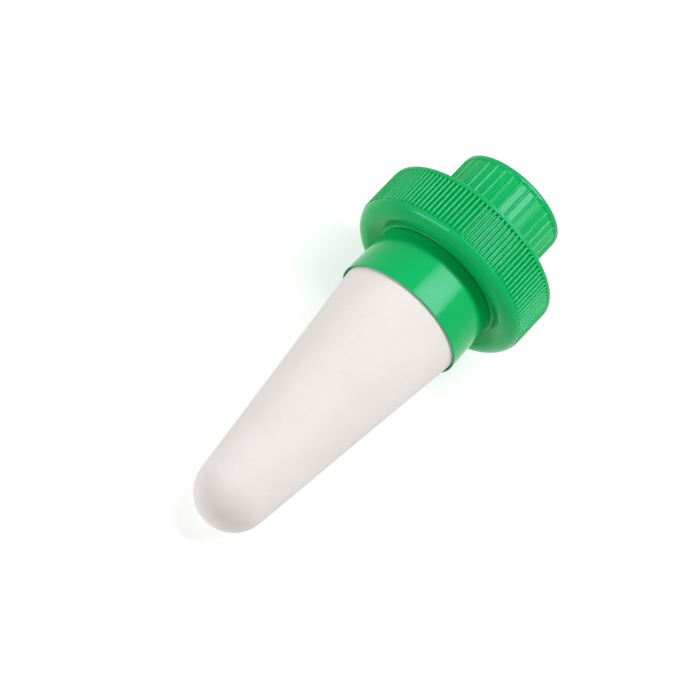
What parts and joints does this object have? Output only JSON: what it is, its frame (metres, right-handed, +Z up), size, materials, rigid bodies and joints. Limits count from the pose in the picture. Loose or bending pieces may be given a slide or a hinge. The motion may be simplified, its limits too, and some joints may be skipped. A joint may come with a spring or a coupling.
{
  "type": "self watering spike",
  "caption": "Hollow porous ceramic cone with a green screw-on head whose coaxial narrow and wide ribbed sockets hold an upturned water bottle over a plant pot.",
  "frame": {"origin": "the cone's tip, on the axis, at the bottom of the bounding box", "axes": "+Z up the axis from the cone's tip to the mouth of the narrow socket; +X and +Y square to it, on a rib of each socket"},
  "size_m": [0.051, 0.051, 0.1178],
  "materials": {
    "cone_clay": "unglazed porous fired clay, matt",
    "cement": "matt cement bead",
    "green_moulding": "glossy moulded plastic",
    "seal_rubber": "matt moulded rubber"
  },
  "bodies": {
    "cone_base": {"ceramic_cone": "cone_clay", "cone_cement": "cement", "cone_collar": "green_moulding"},
    "neck_gasket": {"neck_seal": "seal_rubber"},
    "wide_head": {"wide_socket": "green_moulding", "wide_washer": "seal_rubber"},
    "hub_gasket": {"hub_seal": "seal_rubber"},
    "narrow_head": {"narrow_socket": "green_moulding", "narrow_washer": "seal_rubber"}
  },
  "joints": [
    {"name": "wide_socket_rise", "type": "slide", "parent": "cone_base", "child": "neck_gasket", "axis": [0, 0, 1], "range_m": [0, 0.00751]},
    {"name": "wide_socket_turn", "type": "hinge", "parent": "neck_gasket", "child": "wide_head", "pos_m": [0, 0, 0.0865], "axis": [0, 0, 1], "range_deg": [0, 900]},
    {"name": "narrow_socket_rise", "type": "slide", "parent": "wide_head", "child": "hub_gasket", "axis": [0, 0, 1], "range_m": [0, 0.00751]},
    {"name": "narrow_socket_turn", "type": "hinge", "parent": "hub_gasket", "child": "narrow_head", "pos_m": [0, 0, 0.1], "axis": [0, 0, 1], "range_deg": [0, 900]}
  ],
  "couplings": [
    {"joint": "wide_socket_rise", "follows": "wide_socket_turn", "m_per_rad": 0.00047746},
    {"joint": "narrow_socket_rise", "follows": "narrow_socket_turn", "m_per_rad": 0.00047746}
  ]
}
